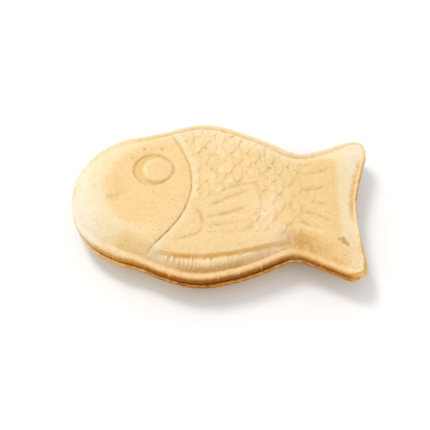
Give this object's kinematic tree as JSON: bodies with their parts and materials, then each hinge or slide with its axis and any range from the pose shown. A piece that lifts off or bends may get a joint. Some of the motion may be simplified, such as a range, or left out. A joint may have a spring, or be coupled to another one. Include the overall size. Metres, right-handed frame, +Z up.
{
  "type": "taiyaki",
  "caption": "Fish-shaped filled wafer cake: upper and lower moulded halves shut along a level seam, with eye, gill, fin, scale and tail-ray relief.",
  "frame": {"origin": "centre of the bounding box's lowest face, on the surface that the fish rests on", "axes": "+X from the head to the tail along the fish, +Y from the belly to the back, +Z up, out of the shown side"},
  "size_m": [0.1498, 0.0955, 0.0237],
  "materials": {
    "wafer": "dry, matt, finely pitted crisp wafer, toasted golden on the level field, paler on slopes and rim, amber on the side wall"
  },
  "bodies": {
    "root": {"wafer_top": "wafer", "wafer_bottom": "wafer"}
  },
  "joints": []
}
